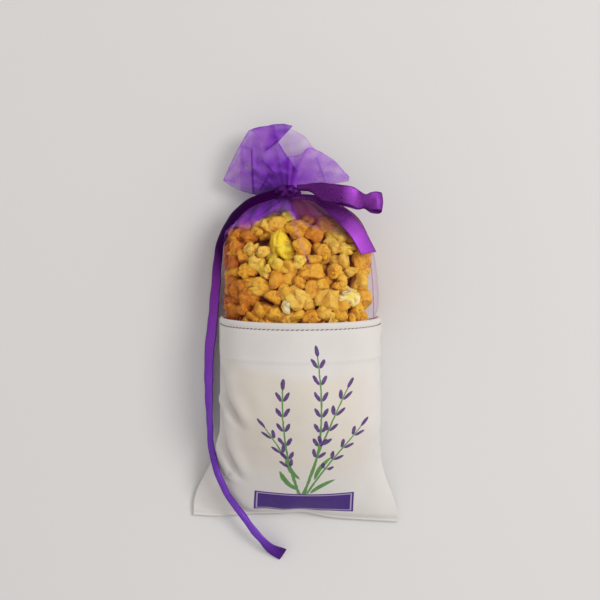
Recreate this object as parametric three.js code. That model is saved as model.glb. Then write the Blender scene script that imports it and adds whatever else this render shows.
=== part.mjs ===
// Lavender sachet lying on its back: a cotton pouch with a sheer organza top, filled with
// granules and tied at the neck with a satin ribbon. Millimetres, +Z up, +Y towards the mouth.
import * as THREE from "three";

// Cloth and thread
const COTTON_THICKNESS = 0.6;
const ORGANZA_THICKNESS = 0.4;
const THREAD_RADIUS = 0.25;
const CLEARANCE = 0.3;

// Cotton pouch
const POUCH_BOTTOM_Y = -61;
const BOTTOM_TILT = 2.8;
const BODY_HALF_WIDTH = 31.6;
const CORNER_FLARE = 10;
const FLARE_LENGTH = 19;
const BOTTOM_LEAN = -1.8;
const RIM_Y = 17;
const RIM_SAG = 2.4;
const HEM_DEPTH = 14;
const STITCH_BELOW_RIM = 2.6;
const HEM_LIFT = 1.4;
const BOTTOM_SEAM_DEPTH = 5;

// Fold down the left of the pouch, where the fill ends beside the flat seam: places on it
const FOLD_DEPTH = 1.3;
const FOLD_WIDTH = 2.6;
const FOLD_PLACES = [[-23, -52], [-26.7, -40], [-27.9, -32], [-26.7, -17], [-30.2, -2]];

// Filled bag
const BAG_HEIGHT = 38;
const RISE_LENGTH = 60;
const SIDE_SEAM_HEIGHT = 13;
const FLAT_SHARE = 1.35;

// Gathered neck
const NECK_X = -5;
const NECK_HEIGHT = 15;
const NECK_RADIUS = 4.5;
const NECK_START_Y = 65.8;
const TAPER_START_Y = 22;

// Ruffle
const RUFFLE_RADIUS = 26;
const RUFFLE_SPREAD = THREE.MathUtils.degToRad(82);
const RUFFLE_FRONT_EDGE = 11;
const RUFFLE_BACK_EDGE = 3.4;
const RUFFLE_TIP_HEIGHT = 6.6;
const RUFFLE_FOLDS = 5;
const RUFFLE_FOLD_HEIGHT = 1.5;

// Ribbon
const RIBBON_WIDTH = 7;
const RIBBON_THICKNESS = 0.45;
const WRAP_WIDTH = 4.2;
const WRAP_TURNS = 2;
const KNOT_HALF_LENGTH = 5;
const KNOT_HALF_WIDTH = 3.2;
const KNOT_HALF_HEIGHT = 2.9;
const LOOP_REACH = 30;
const LOOP_RISE = 3.4;
const LOOP_DROP_Y = 4.2;
const SHORT_TAIL_SIDEWAYS = 24.5;
const SHORT_TAIL_DOWN = 24;

// Fill
const GRANULE_RADIUS = 4.1;
const GRANULE_ROWS = [8, 7, 8, 7, 5];
const BED_CLEARANCE = 0.6;

// Organza over the granules: it stands out over each and sinks in between them by half of this
const TENT_HEIGHT = 1.2;
const TENT_REACH = 3.2;

// Places that follow from the sizes above
const HEM_THICKNESS = 2 * COTTON_THICKNESS;
const ORGANZA_INSET = HEM_THICKNESS + CLEARANCE;
const ORGANZA_INNER = ORGANZA_INSET + ORGANZA_THICKNESS;
const ENVELOPE_NECK_RADIUS = NECK_RADIUS + ORGANZA_INSET;
const WRAP_START_Y = NECK_START_Y + CLEARANCE;
const WRAP_END_Y = WRAP_START_Y + WRAP_WIDTH;
const NECK_END_Y = WRAP_END_Y + CLEARANCE;
const WRAP_INNER_RADIUS = NECK_RADIUS + CLEARANCE;
const WRAP_OUTER_RADIUS = WRAP_INNER_RADIUS + WRAP_TURNS * RIBBON_THICKNESS;
const KNOT_X = NECK_X + 1;
const KNOT_Y = (WRAP_START_Y + WRAP_END_Y) / 2;
const KNOT_Z = NECK_HEIGHT + WRAP_OUTER_RADIUS + CLEARANCE + KNOT_HALF_HEIGHT;

const group = new THREE.Group();
group.name = "lavender_sachet";

const cotton = new THREE.MeshStandardMaterial({ color: 0xe4e0db, roughness: 0.9 });
const thread = new THREE.MeshStandardMaterial({ color: 0x6d6478, roughness: 0.8 });
const organza = new THREE.MeshStandardMaterial({ color: 0x8a4fbf, roughness: 0.6 });
const satin = new THREE.MeshStandardMaterial({ color: 0x6f2a9a, roughness: 0.4 });
const granule = new THREE.MeshStandardMaterial({ color: 0xd6a03c, roughness: 0.7 });

function addPiece(name, geometry, material) {
  const mesh = new THREE.Mesh(geometry, material);
  mesh.name = name;
  group.add(mesh);
}

// Solid made of closed rings of points, one after the other. Each end is closed by joining the
// first half of its ring to the second half, point by point.
function loftSolid(rings) {
  const count = rings[0].length;
  const indices = [];
  for (let r = 0; r + 1 < rings.length; r += 1) {
    for (let i = 0; i < count; i += 1) {
      const a = r * count + i;
      const b = r * count + ((i + 1) % count);
      indices.push(a, b, a + count, b, b + count, a + count);
    }
  }
  const last = (rings.length - 1) * count;
  for (let i = 0; i + 1 < count / 2; i += 1) {
    const [a, b, c, d] = [i, i + 1, count - 2 - i, count - 1 - i];
    indices.push(a, d, b, b, d, c);
    indices.push(last + a, last + b, last + d, last + b, last + c, last + d);
  }
  const geometry = new THREE.BufferGeometry().setFromPoints(rings.flat());
  geometry.setIndex(indices);
  return geometry;
}

// Thin sheet between an outer and an inner grid of points, closed round its four edges
function sheetSolid(across, along, outerAt, innerAt) {
  const rings = [];
  for (let j = 0; j <= along; j += 1) {
    const ring = [];
    for (let i = 0; i <= across; i += 1) {
      ring.push(outerAt(i / across, j / along));
    }
    for (let i = across; i >= 0; i -= 1) {
      ring.push(innerAt(i / across, j / along));
    }
    rings.push(ring);
  }
  return loftSolid(rings);
}

// Flat ribbon swept along a line, its width turned about the line by a roll angle at each point
function ribbonSolid(line, rolls, width, steps) {
  const curve = new THREE.CatmullRomCurve3(line, false, "centripetal");
  const rings = [];
  for (let k = 0; k <= steps; k += 1) {
    const t = k / steps;
    const at = curve.getPoint(t);
    const along = curve.getTangent(t);
    const level = new THREE.Vector3(along.y, -along.x, 0).normalize();
    const place = t * (rolls.length - 1);
    const index = Math.min(Math.floor(place), rolls.length - 2);
    const roll = THREE.MathUtils.lerp(rolls[index], rolls[index + 1], place - index);
    const side = level.applyAxisAngle(along, THREE.MathUtils.degToRad(roll));
    const up = new THREE.Vector3().crossVectors(side, along).normalize();
    const corner = (w, h) =>
      at.clone().addScaledVector(side, (w * width) / 2).addScaledVector(up, (h * RIBBON_THICKNESS) / 2);
    rings.push([corner(-1, -1), corner(-1, 1), corner(1, 1), corner(1, -1)]);
  }
  return loftSolid(rings);
}

function threadSolid(points, steps) {
  const section = new THREE.Shape();
  section.absarc(0, 0, THREAD_RADIUS, 0, Math.PI * 2);
  const curve = new THREE.CatmullRomCurve3(points);
  const settings = { extrudePath: curve, steps, curveSegments: 3, bevelEnabled: false };
  return new THREE.ExtrudeGeometry(section, settings);
}

// Shape of the filled bag. q runs from -1 at the left side seam to 1 at the right one.
const bottomEdge = (q) => POUCH_BOTTOM_Y - BOTTOM_TILT * q;
const rimEdge = (q) => RIM_Y + RIM_SAG * (1 - Math.sqrt(Math.max(0, 1 - q * q)));

function station(q, y) {
  const fromBottom = Math.max(0, y - bottomEdge(q));
  const flare = Math.exp(-((fromBottom / FLARE_LENGTH) ** 2.2));
  const toNeck = THREE.MathUtils.clamp((y - RIM_Y) / (NECK_START_Y - RIM_Y), 0, 1);
  const dome = Math.cbrt(1 - toNeck ** 3);
  const drop = THREE.MathUtils.clamp((y - TAPER_START_Y) / (NECK_START_Y - TAPER_START_Y), 0, 1);
  const taper = Math.cos((Math.PI / 2) * drop ** 1.3);
  const rise = Math.sin((Math.PI / 2) * Math.min(1, fromBottom / RISE_LENGTH) ** 0.8);
  const filled = THREE.MathUtils.smoothstep(fromBottom, 0, 0.75 * RISE_LENGTH);
  const edge = CLEARANCE / 2 + COTTON_THICKNESS;
  const neckTop = NECK_HEIGHT + ENVELOPE_NECK_RADIUS;
  const neckBack = NECK_HEIGHT - ENVELOPE_NECK_RADIUS;
  const sideSeam = THREE.MathUtils.lerp(edge, SIDE_SEAM_HEIGHT, filled);
  const top = 2 * edge + (BAG_HEIGHT - 2 * edge) * rise;
  const lift = HEM_LIFT * THREE.MathUtils.smoothstep(y, RIM_Y - HEM_DEPTH, RIM_Y - HEM_DEPTH / 2);
  return {
    halfWidth: THREE.MathUtils.lerp(ENVELOPE_NECK_RADIUS, BODY_HALF_WIDTH, dome) + CORNER_FLARE * flare,
    centre: BOTTOM_LEAN * flare + NECK_X * (1 - dome),
    top: THREE.MathUtils.lerp(neckTop, top, taper),
    back: THREE.MathUtils.lerp(lift, neckBack, (1 - taper) ** 1.6),
    seam: THREE.MathUtils.lerp(NECK_HEIGHT, sideSeam, dome),
    fullness: THREE.MathUtils.lerp(2.4, THREE.MathUtils.lerp(1, 0.8, dome), filled),
    flatness: THREE.MathUtils.lerp(1, FLAT_SHARE, dome),
  };
}

// Point of the front or back skin, drawn in from the outside by inset and kept off the seam by lift
function skin(face, q, y, inset, lift) {
  const at = station(q, y);
  const bulge = Math.sqrt(Math.max(0, 1 - q * q)) ** at.fullness;
  const x = at.centre + Math.max(0.3, at.halfWidth - inset) * q;
  if (face === "front") {
    const start = at.seam + lift;
    return new THREE.Vector3(x, y, start + Math.max(0, at.top - inset - start) * bulge);
  }
  const start = at.seam - lift;
  const depth = Math.max(0, start - at.back - inset);
  return new THREE.Vector3(x, y, start - depth * Math.min(1, at.flatness * bulge));
}

// Direction out of the front skin
function outOfFront(q, y, inset) {
  const at = (dq, dy) => skin("front", q + dq, y + dy, inset, CLEARANCE / 2);
  const side = at(0.01, 0).sub(at(-0.01, 0));
  const along = at(0, 0.2).sub(at(0, -0.2));
  return side.cross(along).normalize();
}

// Stations across a panel stand closer together at the side seams, where the cloth turns
const across = (u) => Math.sin((u - 0.5) * Math.PI);

// Height of the bag's front above a point of the plan, and nothing beside the bag
function frontHeight(x, y) {
  const at = station(Math.sign(x), y);
  const q = (x - at.centre) / at.halfWidth;
  const height = skin("front", q, y, 0, CLEARANCE / 2 + COTTON_THICKNESS).z;
  return Math.abs(q) < 1 && y > bottomEdge(q) ? height : 0;
}

// Depth of the fold at a point of the pouch's front
const foldLine = FOLD_PLACES.map(([x, y]) => new THREE.Vector3(x, y, 0));
function foldDepth(point) {
  const plan = new THREE.Vector3(point.x, point.y, 0);
  const nearest = new THREE.Vector3();
  let away = Infinity;
  for (let k = 0; k + 1 < foldLine.length; k += 1) {
    new THREE.Line3(foldLine[k], foldLine[k + 1]).closestPointToPoint(plan, true, nearest);
    away = Math.min(away, nearest.distanceTo(plan));
  }
  return FOLD_DEPTH * Math.exp(-((away / FOLD_WIDTH) ** 2));
}

// Cotton panels, with the hem folded in at the rim
const PANEL_COLUMNS = { front: 32, back: 16 };
const COTTON_ROWS = 18;
for (const face of ["front", "back"]) {
  const turn = face === "front" ? (u) => across(u) : (u) => -across(u);
  const yAt = (q, v) => THREE.MathUtils.lerp(bottomEdge(q), rimEdge(q), v);
  const hemStart = (q) => 1 - HEM_DEPTH / (rimEdge(q) - bottomEdge(q));
  const layer = (u, v, inset, lift) => {
    const y = yAt(turn(u), v);
    const at = skin(face, turn(u), y, inset, lift);
    const depth = face === "front" ? foldDepth(at) : 0;
    return at.addScaledVector(outOfFront(turn(u), y, 0), -depth);
  };
  const outer = (u, v) => layer(u, v, 0, CLEARANCE / 2 + COTTON_THICKNESS);
  const wall = (u, v) => (v >= hemStart(turn(u)) ? HEM_THICKNESS : COTTON_THICKNESS);
  const inner = (u, v) => layer(u, v, wall(u, v), CLEARANCE / 2);
  addPiece(`cotton_${face}_panel`, sheetSolid(PANEL_COLUMNS[face], COTTON_ROWS, outer, inner), cotton);
}

// Seats of the granules against the inside of the front organza, in staggered rows
const seats = [];
GRANULE_ROWS.forEach((count, row) => {
  const y = THREE.MathUtils.lerp(RIM_Y, NECK_START_Y, (row + 0.1) / GRANULE_ROWS.length);
  for (let k = 0; k < count; k += 1) {
    const q = Math.sin(THREE.MathUtils.degToRad(THREE.MathUtils.lerp(-66, 66, k / (count - 1))));
    const cloth = skin("front", q, y, ORGANZA_INNER, CLEARANCE / 2);
    seats.push({ cloth, inward: outOfFront(q, y, ORGANZA_INNER).negate() });
  }
});

// How far the front organza stands out over the granules, or sinks in between them
function tentHeight(q, y) {
  const at = skin("front", q, y, ORGANZA_INNER, CLEARANCE / 2);
  const nearest = Math.min(...seats.map((seat) => seat.cloth.distanceTo(at)));
  const free = THREE.MathUtils.smoothstep(y, rimEdge(q) + 1, rimEdge(q) + 4)
    * THREE.MathUtils.smoothstep(NECK_START_Y - y, NECK_RADIUS, 3 * NECK_RADIUS)
    * THREE.MathUtils.smoothstep(1 - Math.abs(q), 0, 0.1);
  return free * TENT_HEIGHT * (Math.exp(-((nearest / TENT_REACH) ** 2)) - 0.5);
}

// Organza panels, from inside the hem to the gathered neck under the ribbon
const ORGANZA_ROWS = 26;
const NECK_ROWS = 4;
const domeShare = 1 - NECK_ROWS / ORGANZA_ROWS;
for (const face of ["front", "back"]) {
  const turn = face === "front" ? (u) => across(u) : (u) => -across(u);
  const start = (q) => rimEdge(q) - HEM_DEPTH;
  const yAt = (q, v) => {
    const reach = NECK_START_Y - start(q);
    return v < domeShare ? start(q) + reach * Math.sin((v / domeShare) * (Math.PI / 2))
      : THREE.MathUtils.lerp(NECK_START_Y, NECK_END_Y, (v - domeShare) / (1 - domeShare));
  };
  const gathered = (y) => THREE.MathUtils.smoothstep(y, NECK_START_Y - NECK_RADIUS, NECK_START_Y);
  const layer = (q, y, inset, lift) => {
    const tent = face === "front" ? tentHeight(q, y) : 0;
    return skin(face, q, y, inset, lift).addScaledVector(outOfFront(q, y, ORGANZA_INNER), tent);
  };
  const outer = (u, v) => {
    const y = yAt(turn(u), v);
    return layer(turn(u), y, ORGANZA_INSET, CLEARANCE / 2 + ORGANZA_THICKNESS);
  };
  const inner = (u, v) => {
    const y = yAt(turn(u), v);
    const inset = THREE.MathUtils.lerp(ORGANZA_INNER, ENVELOPE_NECK_RADIUS - CLEARANCE, gathered(y));
    return layer(turn(u), y, inset, CLEARANCE / 2);
  };
  addPiece(`organza_${face}_panel`, sheetSolid(PANEL_COLUMNS[face], ORGANZA_ROWS, outer, inner), organza);
}

// Seam threads inside the side and bottom seams
const SEAM_INSET = ORGANZA_INNER + CLEARANCE + THREAD_RADIUS;
for (const [side, q] of [["left", -1], ["right", 1]]) {
  const run = (from, to) => {
    const points = [];
    for (let k = 0; k <= 6; k += 1) {
      const y = THREE.MathUtils.lerp(from, to, k / 6);
      const at = station(q, y);
      points.push(new THREE.Vector3(at.centre + q * (at.halfWidth - SEAM_INSET), y, at.seam));
    }
    return points;
  };
  const join = RIM_Y - HEM_DEPTH / 2;
  const low = run(bottomEdge(q) + HEM_DEPTH, join - CLEARANCE);
  const high = run(join + CLEARANCE, NECK_START_Y - 2 * NECK_RADIUS);
  addPiece(`seam_thread_${side}`, threadSolid(low, 16), thread);
  addPiece(`organza_seam_thread_${side}`, threadSolid(high, 16), thread);
}

const bottomSeam = [];
for (let k = 0; k <= 8; k += 1) {
  const q = THREE.MathUtils.lerp(-0.85, 0.85, k / 8);
  const point = skin("back", q, bottomEdge(q) + BOTTOM_SEAM_DEPTH, COTTON_THICKNESS, CLEARANCE / 2);
  point.z += CLEARANCE + 1.4 * THREAD_RADIUS;
  bottomSeam.push(point);
}
addPiece("seam_thread_bottom", threadSolid(bottomSeam, 24), thread);

// Hem stitching on the outside, just under the rim
for (const face of ["front", "back"]) {
  const offset = CLEARANCE + THREAD_RADIUS;
  const points = [];
  for (let k = 0; k <= 14; k += 1) {
    const q = Math.sin(THREE.MathUtils.degToRad(THREE.MathUtils.lerp(-72, 72, k / 14)));
    const lift = CLEARANCE / 2 + COTTON_THICKNESS + offset;
    points.push(skin(face, q, rimEdge(q) - STITCH_BELOW_RIM, -offset, lift));
  }
  addPiece(`hem_stitch_${face}`, threadSolid(points, 36), thread);
}

// Ruffle above the tie: two layers of organza that spread from the neck into a fan
for (const face of ["front", "back"]) {
  const sign = face === "front" ? 1 : -1;
  const edgeHeight = face === "front" ? RUFFLE_FRONT_EDGE : RUFFLE_BACK_EDGE;
  const layer = (u, v, lift) => {
    const turn = sign * (2 * u - 1);
    const angle = turn * RUFFLE_SPREAD;
    const open = Math.cos((turn * Math.PI) / 2);
    const base = new THREE.Vector3(
      NECK_X + NECK_RADIUS * Math.sin((turn * Math.PI) / 2),
      NECK_END_Y + CLEARANCE,
      NECK_HEIGHT + sign * (NECK_RADIUS - RIBBON_THICKNESS) * open,
    );
    const tip = new THREE.Vector3(
      NECK_X + RUFFLE_RADIUS * Math.sin(angle),
      NECK_END_Y + CLEARANCE + RUFFLE_RADIUS * Math.cos(angle),
      THREE.MathUtils.lerp(RUFFLE_TIP_HEIGHT, edgeHeight, Math.min(1, 2 * open)),
    );
    const fold = RUFFLE_FOLD_HEIGHT * v * Math.min(1, 2 * open) * Math.sin(RUFFLE_FOLDS * Math.PI * turn);
    const at = base.lerp(tip, v);
    at.z += fold + sign * lift;
    return at;
  };
  const outer = (u, v) => layer(u, v, CLEARANCE / 2 + ORGANZA_THICKNESS);
  const inner = (u, v) => layer(u, v, CLEARANCE / 2);
  addPiece(`ruffle_${face}_layer`, sheetSolid(40, 6, outer, inner), organza);
}

// Ribbon round the neck
const band = [
  new THREE.Vector2(WRAP_INNER_RADIUS, WRAP_START_Y),
  new THREE.Vector2(WRAP_OUTER_RADIUS, WRAP_START_Y),
  new THREE.Vector2(WRAP_OUTER_RADIUS, WRAP_END_Y),
  new THREE.Vector2(WRAP_INNER_RADIUS, WRAP_END_Y),
  new THREE.Vector2(WRAP_INNER_RADIUS, WRAP_START_Y),
];
const wrap = new THREE.LatheGeometry(band, 32).translate(NECK_X, 0, NECK_HEIGHT);
addPiece("ribbon_neck_wrap", wrap, satin);

// Knot in front of the neck
const knot = new THREE.SphereGeometry(1, 20, 12);
knot.scale(KNOT_HALF_LENGTH, KNOT_HALF_WIDTH, KNOT_HALF_HEIGHT).translate(KNOT_X, KNOT_Y, KNOT_Z);
addPiece("ribbon_knot", knot, satin);

// Bow loop, out to the right and back
const loopStart = KNOT_X + KNOT_HALF_LENGTH + CLEARANCE;
const loopPoint = (share, height) =>
  new THREE.Vector3(loopStart + LOOP_REACH * share, KNOT_Y - LOOP_DROP_Y * share, KNOT_Z + height);
const loopLine = [
  loopPoint(0, 1.2),
  loopPoint(0.2, 1 + LOOP_RISE),
  loopPoint(0.5, 2.4 + LOOP_RISE),
  loopPoint(0.8, 1.4 + LOOP_RISE),
  loopPoint(0.95, 1 + LOOP_RISE),
  loopPoint(1, LOOP_RISE - 0.6),
  loopPoint(0.94, LOOP_RISE - 1.6),
  loopPoint(0.7, LOOP_RISE - 0.8),
  loopPoint(0.35, LOOP_RISE - 0.4),
  loopPoint(0.12, 1),
  loopPoint(0, -0.4),
];
const loopCurve = new THREE.CatmullRomCurve3(loopLine, false, "centripetal");
const LOOP_STEPS = 44;
const loopRings = [];
for (let k = 0; k <= LOOP_STEPS; k += 1) {
  const at = loopCurve.getPoint(k / LOOP_STEPS);
  const along = loopCurve.getTangent(k / LOOP_STEPS);
  const up = new THREE.Vector3(-along.z, 0, along.x).normalize();
  const corner = (w, h) => {
    const edge = new THREE.Vector3(at.x, at.y + (w * RIBBON_WIDTH) / 2, at.z);
    return edge.addScaledVector(up, (h * RIBBON_THICKNESS) / 2);
  };
  loopRings.push([corner(1, -1), corner(1, 1), corner(-1, 1), corner(-1, -1)]);
}
addPiece("ribbon_bow_loop", loftSolid(loopRings), satin);

// Short tail, over the right shoulder of the bag
const shortShares = [[0, 0.1], [0.2, 0.18], [0.45, 0.33], [0.7, 0.54], [0.86, 0.77], [1, 1]];
const shortLine = shortShares.map(([sideways, down], k) => {
  const x = loopStart + SHORT_TAIL_SIDEWAYS * sideways;
  const y = KNOT_Y - SHORT_TAIL_DOWN * down;
  const height = Math.max(frontHeight(x, y), k === 0 ? KNOT_Z - KNOT_HALF_HEIGHT : 0);
  return new THREE.Vector3(x, y, height + 2 * CLEARANCE + 2 * RIBBON_THICKNESS);
});
addPiece("ribbon_short_tail", ribbonSolid(shortLine, [-8, -14, -22, -30, -38, -44], RIBBON_WIDTH, 24), satin);

// Long tail, beside the left of the bag, over its lower corner and out past the bottom edge.
// The last number of each place is the height of the ribbon's middle above what lies under it.
const TAIL_LEAN = 58;
const ON_EDGE = (RIBBON_WIDTH / 2) * Math.sin(THREE.MathUtils.degToRad(TAIL_LEAN)) + RIBBON_THICKNESS;
const tailPoint = ([x, y, above]) => new THREE.Vector3(x, y, above + frontHeight(x, y));
const upperLine = [
  new THREE.Vector3(KNOT_X - KNOT_HALF_LENGTH - CLEARANCE, KNOT_Y, KNOT_Z - 1),
  new THREE.Vector3(-14.9, 67, 22),
  new THREE.Vector3(-20.2, 64.4, 20.6),
  new THREE.Vector3(-25, 60.6, 18.4),
  new THREE.Vector3(-28.9, 55.6, 15.6),
  new THREE.Vector3(-32, 49.6, 12),
  new THREE.Vector3(-33.9, 41.3, 8),
  new THREE.Vector3(-35.1, 30.5, 4.8),
  new THREE.Vector3(-36, 16.8, ON_EDGE),
  new THREE.Vector3(-36.6, 6.6, ON_EDGE),
];
const lowerTail = [
  [-36.6, 6.2, ON_EDGE],
  [-37, -4, ON_EDGE],
  [-37, -14, ON_EDGE],
  [-36.7, -24, 4.8],
  [-35.6, -34, 8.6],
  [-32.7, -43, ON_EDGE],
  [-29.3, -51, ON_EDGE],
  [-25.2, -57.6, ON_EDGE],
  [-20.4, -64.6, 5.9],
  [-15.6, -70.8, 4.4],
  [-11.8, -74.4, 3.2],
  [-7.6, -76.6, 2.4],
];
const upperRolls = [50, 56, TAIL_LEAN, TAIL_LEAN, TAIL_LEAN, TAIL_LEAN];
const lowerRolls = [TAIL_LEAN, TAIL_LEAN, 62, 66, 66, 52, 18];
const lowerLine = lowerTail.map(tailPoint);
addPiece("ribbon_long_tail_upper", ribbonSolid(upperLine, upperRolls, RIBBON_WIDTH, 36), satin);
addPiece("ribbon_long_tail_lower", ribbonSolid(lowerLine, lowerRolls, RIBBON_WIDTH, 40), satin);

// Bed of packed granules: the whole pouch, and the heart of the bag behind the organza
const VISIBLE_DEPTH = ORGANZA_INNER + 2 * GRANULE_RADIUS + 2 * CLEARANCE;
const SEAM_ROOM = SEAM_INSET + THREAD_RADIUS + BED_CLEARANCE;
const bedEnd = NECK_START_Y - 2 * GRANULE_RADIUS - NECK_RADIUS;
const bedRings = [];
const BED_STATIONS = 22;
for (let j = 0; j <= BED_STATIONS; j += 1) {
  const place = (face, q) => {
    const start = bottomEdge(q) + BOTTOM_SEAM_DEPTH + THREAD_RADIUS + BED_CLEARANCE;
    const y = THREE.MathUtils.lerp(start, bedEnd, j / BED_STATIONS);
    const behind = THREE.MathUtils.smoothstep(y, RIM_Y - 3 * GRANULE_RADIUS, RIM_Y - GRANULE_RADIUS);
    const inset = THREE.MathUtils.lerp(SEAM_ROOM, VISIBLE_DEPTH, behind);
    const ahead = y + behind * GRANULE_RADIUS;
    const front = skin("front", q, ahead, inset, 0);
    const height = face === "front" ? front.z : skin("back", q, ahead, SEAM_ROOM, 0).z;
    return new THREE.Vector3(front.x, y, height);
  };
  const ring = [];
  for (let i = 0; i < 12; i += 1) {
    ring.push(place("front", across((i + 0.5) / 12)));
  }
  for (let i = 0; i < 12; i += 1) {
    ring.push(place("back", -across((i + 0.5) / 12)));
  }
  bedRings.push(ring);
}
addPiece("granule_bed", loftSolid(bedRings), granule);

// Lumpy granule: a ball whose surface is drawn in here and there
function granuleSolid(centre, radius, seed) {
  const geometry = new THREE.IcosahedronGeometry(radius, 1);
  const position = geometry.attributes.position;
  const point = new THREE.Vector3();
  for (let i = 0; i < position.count; i += 1) {
    point.fromBufferAttribute(position, i);
    const unit = point.clone().normalize();
    const sideways = Math.sin(5 * unit.x + seed) + Math.sin(4 * unit.y + 2 * seed);
    const wave = sideways + Math.sin(6 * unit.z + 3 * seed);
    point.multiplyScalar(0.93 + 0.023 * wave).add(centre);
    position.setXYZ(i, point.x, point.y, point.z);
  }
  return geometry;
}

// Granules in their seats. Each is as large as its nearest neighbour leaves room for, up to the
// common size, and lies against the cloth.
const centreOf = (seat, radius) => seat.cloth.clone().addScaledVector(seat.inward, radius + CLEARANCE);
seats.forEach((seat, k) => {
  const deepest = centreOf(seat, GRANULE_RADIUS);
  const others = seats.filter((other) => other !== seat);
  const nearest = Math.min(...others.map((other) => centreOf(other, GRANULE_RADIUS).distanceTo(deepest)));
  const radius = Math.min(GRANULE_RADIUS, (nearest - CLEARANCE) / 2);
  const name = `granule_${String(k + 1).padStart(2, "0")}`;
  addPiece(name, granuleSolid(centreOf(seat, radius), radius, k + 1), granule);
});

export default group;
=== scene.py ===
from functools import partialmethod

import bpy
import numpy as np
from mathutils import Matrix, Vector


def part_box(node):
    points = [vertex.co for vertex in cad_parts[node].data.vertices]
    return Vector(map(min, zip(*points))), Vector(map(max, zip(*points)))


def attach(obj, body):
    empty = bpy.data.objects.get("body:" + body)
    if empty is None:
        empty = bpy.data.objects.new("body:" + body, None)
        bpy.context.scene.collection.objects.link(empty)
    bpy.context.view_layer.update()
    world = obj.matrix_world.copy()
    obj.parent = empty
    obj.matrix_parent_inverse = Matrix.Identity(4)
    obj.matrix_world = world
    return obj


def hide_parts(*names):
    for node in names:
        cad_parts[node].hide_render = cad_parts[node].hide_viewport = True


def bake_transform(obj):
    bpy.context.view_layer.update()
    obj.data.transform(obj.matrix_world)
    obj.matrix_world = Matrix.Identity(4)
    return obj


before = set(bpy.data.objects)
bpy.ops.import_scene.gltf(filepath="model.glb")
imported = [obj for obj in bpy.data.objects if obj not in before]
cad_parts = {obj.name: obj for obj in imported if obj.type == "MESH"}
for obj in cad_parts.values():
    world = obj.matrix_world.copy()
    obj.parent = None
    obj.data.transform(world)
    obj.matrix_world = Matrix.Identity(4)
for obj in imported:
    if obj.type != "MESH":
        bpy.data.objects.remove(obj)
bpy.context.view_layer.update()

scene = bpy.context.scene
scene.view_settings.view_transform = "Standard"

# Camera: straight above the bag, which lies on its back with its mouth at the top of the
# picture.
overhead = bpy.data.cameras.new("overhead")
overhead.sensor_width, overhead.lens, overhead.clip_start = 36.0, 66.2, 0.01
camera = bpy.data.objects.new("overhead", overhead)
camera.location = (0, 0.0265, 0.45)
scene.collection.objects.link(camera)
scene.camera = camera


# Table and light: a plain pale table top under one broad soft lamp, which stands to the upper
# right, and the even light of the room.
def shown(red, green, blue):
    """Linear colour of a shade that is given as it shows on a screen, from 0 to 255."""
    share = np.array([red, green, blue]) / 255
    linear = np.where(share <= 0.04045, share / 12.92, ((share + 0.055) / 1.055) ** 2.4)
    return (*linear.tolist(), 1.0)


class Tone:
    """One value in a material. Operators on it add Math nodes, and node() adds any other node."""

    def __init__(self, tree, socket=None):
        self.tree, self.socket = tree, socket

    def node(self, kind, settings={}, inputs={}, output=0):
        """Adds a node: its settings first, then numbers, colours or other tones for its sockets."""
        made = self.tree.nodes.new(kind)
        for name, value in settings.items():
            if name == "stops":
                ramp = made.color_ramp.elements
                for stop, (place, colour) in zip((ramp[0], ramp[-1]), (value[0], value[-1])):
                    stop.position, stop.color = place, shown(*colour)
                for place, colour in value[1:-1]:
                    ramp.new(place).color = shown(*colour)
            else:
                setattr(made, name, value)
        for name, value in inputs.items():
            if isinstance(value, Tone):
                self.tree.links.new(value.socket, made.inputs[name])
            else:
                made.inputs[name].default_value = value
        return Tone(self.tree, made.outputs[output])

    def math(self, operation, *others):
        """Math node that works on this value and the others."""
        return self.node("ShaderNodeMath", {"operation": operation}, dict(enumerate((self, *others))))

    __add__ = __radd__ = partialmethod(math, "ADD")
    __mul__ = __rmul__ = partialmethod(math, "MULTIPLY")
    __sub__ = partialmethod(math, "SUBTRACT")
    __truediv__ = partialmethod(math, "DIVIDE")
    __pow__ = partialmethod(math, "POWER")
    __abs__ = partialmethod(math, "ABSOLUTE")

    def __rsub__(self, other):
        return self.node("ShaderNodeMath", {"operation": "SUBTRACT"}, {0: other, 1: self})

    def rise(self, low, high):
        """Smooth step from 0 at low to 1 at high."""
        return self.node("ShaderNodeMapRange", {"interpolation_type": "SMOOTHSTEP"},
                         {"Value": self, "From Min": low, "From Max": high})

    def between(self, first, second):
        """Colour from the first to the second, tones or shown shades, as this value goes from 0 to 1."""
        first, second = (end if isinstance(end, Tone) else shown(*end) for end in (first, second))
        return self.node("ShaderNodeMix", {"data_type": "RGBA"}, {0: self, 6: first, 7: second}, 2)

    def speckle(self, place, scale, detail=2.0, rough=0.5):
        """Noise from 0 to 1 with the given number of grains to a unit of place."""
        return self.node("ShaderNodeTexNoise", {},
                         {"Vector": place, "Scale": scale, "Detail": detail, "Roughness": rough})

    def bump(self, strength, height):
        """Normal of a surface that this value roughens, with a height in metres."""
        return self.node("ShaderNodeBump", {}, {"Height": self, "Strength": strength, "Distance": height})

    def mark(self, name):
        """Number that a mesh gives each of its points under this name."""
        return self.node("ShaderNodeAttribute", {"attribute_name": name}, output=2)

    def on_object(self):
        """Place on the object, in metres."""
        return self.node("ShaderNodeTexCoord", output=3)

    def on_cloth(self):
        """Place on the cloth, in millimetres, and its parts across and along it."""
        cloth = self.node("ShaderNodeUVMap", {"uv_map": "cloth"})
        across, along = (self.node("ShaderNodeSeparateXYZ", {}, {0: cloth}, axis) for axis in (0, 1))
        return cloth, across, along


def new_finish(name, **constants):
    """Material with one Principled shader. Constants are the sockets that are the same all over."""
    material = bpy.data.materials.new(name)
    material.use_nodes = True
    shader = material.node_tree.nodes["Principled BSDF"]
    for socket, value in constants.items():
        shader.inputs[socket.replace("_", " ")].default_value = value
    return material, Tone(material.node_tree)


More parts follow.
